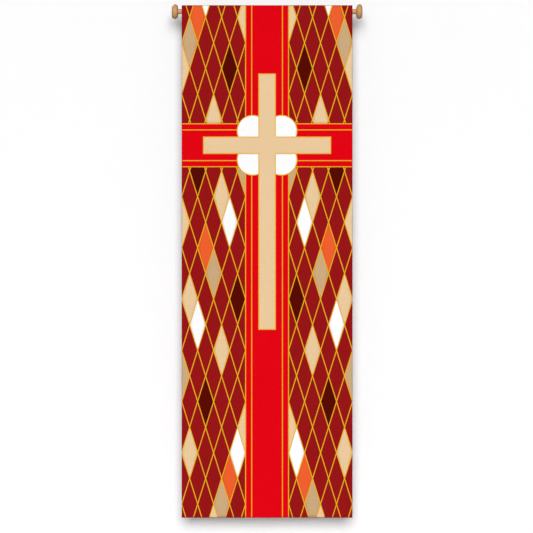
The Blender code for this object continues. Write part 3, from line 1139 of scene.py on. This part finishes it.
def knob_profile(low, high, outward):
    """From the bore's end out through the mouth, round the rim to the outer face."""
    rim = (high.x - low.x) / 2          # the rim is a half circle of this radius
    flat = (high.z - low.z) / 2 - rim   # radius of the flat faces
    middle = (low.x + high.x) / 2
    mouth, face = middle - outward * rim, middle + outward * rim
    bore_end = mouth + outward * BORE_DEPTH
    bore = ROD_RADIUS + BORE_PLAY
    profile = [(bore_end, 0.0), (bore_end, bore)]
    profile += [(mouth + outward * MOUTH_CHAMFER, bore), (mouth, bore + MOUTH_CHAMFER)]
    profile += [(mouth, r) for r in np.linspace(bore + OFF_BORE, flat - OFF_RIM, MOUTH_RINGS)]
    for angle in np.linspace(-math.pi / 2, math.pi / 2, RIM_POINTS):
        profile.append((middle + outward * rim * math.sin(angle), flat + rim * math.cos(angle)))
    profile += [(face, r) for r in np.linspace(flat - OFF_FACE_ENDS, OFF_FACE_ENDS, FACE_RINGS)]
    return profile + [(face, 0.0)]


for node, outward in (("knob_left", -1), ("knob_right", 1)):
    turned(node + "_turned", node, knob_profile(*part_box(node), outward), BEECH_KNOB)

# %% [markdown]

# %% [markdown]
# ## Floor and walls
# The banner hangs close in front of a white wall, over a pale floor, and the room's other
# walls stand far off. Each wall shows only its inner face and blocks no light, so the
# banner can be looked at from every side. The far ones glow a little, like backdrops that
# are lit from behind, because the lamps on the banner don't reach them.

# %% A finish for the room
FULL_WHITE = (1.0, 1.0, 1.0, 1.0)


def plain_finish(name, grey, glow):
    """Matt paint that is this grey, 1 for white, and glows by itself a little."""
    return Finish(
        name, Base_Color=(grey, grey, grey, 1.0), Roughness=0.9, Specular_IOR_Level=0.1,
        Emission_Color=FULL_WHITE, Emission_Strength=glow,
    )


def seen_from_front_only(finish):
    """Make a finish clear where its face is turned away."""
    facing = finish.node("ShaderNodeNewGeometry").outputs["Backfacing"]
    clear = finish.node("ShaderNodeBsdfTransparent").outputs[0]
    mix = finish.node("ShaderNodeMixShader", i0=facing, i1=finish.shader.outputs[0], i2=clear)
    finish.tree.links.new(mix.outputs[0], finish.tree.nodes["Material Output"].inputs["Surface"])


FLOOR_FINISH = plain_finish("pale floor", 0.86, 0.0)
NEAR_FINISH = plain_finish("white wall", 0.94, 0.065)
FAR_FINISH = plain_finish("pale wall", 0.8, 0.35)
for finish in (NEAR_FINISH, FAR_FINISH):
    seen_from_front_only(finish)
print("room finishes:", [finish.material.name for finish in (FLOOR_FINISH, NEAR_FINISH, FAR_FINISH)])

# %% Make the floor and the walls
FLOOR = BOTTOM - 0.8
WALL = 0.16                             # distance of the near wall behind the rod
ROOM = 9.0                              # half the room's width
CEILING = 5.0


def stage_sheet(name, corners, finish):
    mesh = bpy.data.meshes.new(name)
    mesh.from_pydata(corners, [], [(0, 1, 2, 3)])
    mesh.materials.append(finish.material)
    sheet = add_object(name, mesh)
    return sheet


def stage_wall(name, start, end, finish):
    """A wall between two floor points, facing the right of the way from start to end."""
    corners = [(*start, FLOOR), (*end, FLOOR), (*end, CEILING), (*start, CEILING)]
    wall = stage_sheet(name, corners, finish)
    wall.visible_shadow = False
    wall.visible_diffuse = False
    wall.visible_glossy = False


room_corners = [(-ROOM, -ROOM), (ROOM, -ROOM), (ROOM, ROOM), (-ROOM, ROOM)]
stage_sheet("floor", [(x, y, FLOOR) for x, y in room_corners], FLOOR_FINISH)
stage_wall("near_wall", (-ROOM, WALL), (ROOM, WALL), NEAR_FINISH)
stage_wall("left_wall", (-ROOM, -ROOM), (-ROOM, ROOM), FAR_FINISH)
stage_wall("right_wall", (ROOM, ROOM), (ROOM, -ROOM), FAR_FINISH)
stage_wall("far_wall", (ROOM, -ROOM), (-ROOM, -ROOM), FAR_FINISH)
print("floor at z", round(FLOOR, 3))

# %% [markdown]
# ## Light
# The soft edge of the shadow shows that the light is wide and comes almost straight from
# the front, a little from above. A sun lamp with a large angle gives that evenly over all
# three metres of cloth. Another from behind lights the back. Its bounces are switched off,
# or the wall would turn red in the banner's shadow. The pale world fills in the rest.


# %% Make the lights
def soft_sun(name, azimuth, elevation, strength, spread, bounces=12):
    """Azimuth 0 shines from the front, 90 from the right; angles are in degrees."""
    lamp = bpy.data.lights.new(name, "SUN")
    lamp.energy = strength
    lamp.angle = math.radians(spread)
    lamp.cycles.max_bounces = bounces
    turn, lift = math.radians(azimuth), math.radians(elevation)
    source = Vector((math.sin(turn) * math.cos(lift), -math.cos(turn) * math.cos(lift), math.sin(lift)))
    sun = add_object(name, lamp)
    sun.rotation_mode = "QUATERNION"
    sun.rotation_quaternion = source.to_track_quat("Z", "Y")


soft_sun("key light", azimuth=0, elevation=17.5, strength=2.8, spread=34)
soft_sun("back light", azimuth=205, elevation=30, strength=2.2, spread=30, bounces=0)
world = bpy.data.worlds.new("pale studio")
world.use_nodes = True
background = world.node_tree.nodes["Background"]
background.inputs["Color"].default_value = FULL_WHITE
background.inputs["Strength"].default_value = 0.07
bpy.context.scene.world = world
bpy.context.scene.view_settings.view_transform = "Standard"
print(len(bpy.data.lights), "lamps")

# %% [markdown]
# ## Camera
# The picture is square on and shows no perspective, so the camera stands far away with a
# long lens. Its distance follows from two measured things: the cloth's real width and how
# many of the picture's pixels it fills.

# %% Place the camera
PICTURE = 533                           # width and height of the picture in pixels
CLOTH_PIXELS = 170.84                   # width of the cloth there
MIDDLE_PIXEL = 267.08                   # its middle, from the left
TOP_PIXEL = 5.22                        # its top edge, from above
SENSOR, LENS = 36.0, 150.0              # in millimetres

pixel = 2 * SIDE / CLOTH_PIXELS
distance = PICTURE * pixel * LENS / SENSOR
camera_data = bpy.data.cameras.new("camera")
camera_data.sensor_width = SENSOR
camera_data.lens = LENS
camera_data.clip_end = 100.0
camera = add_object("camera", camera_data)
camera.location = (
    (PICTURE / 2 - MIDDLE_PIXEL) * pixel,
    FACE - distance,
    TOP - (PICTURE / 2 - TOP_PIXEL) * pixel,
)
camera.rotation_euler = (math.pi / 2, 0.0, 0.0)
bpy.context.scene.camera = camera
print("one pixel covers", round(pixel / MM, 2), "mm, camera", round(distance, 2), "m away")

# %% [markdown]
# ## The end
# The dressed banner should fill the same box as the solids.

# %% Bring the scene up to date
bpy.context.view_layer.update()
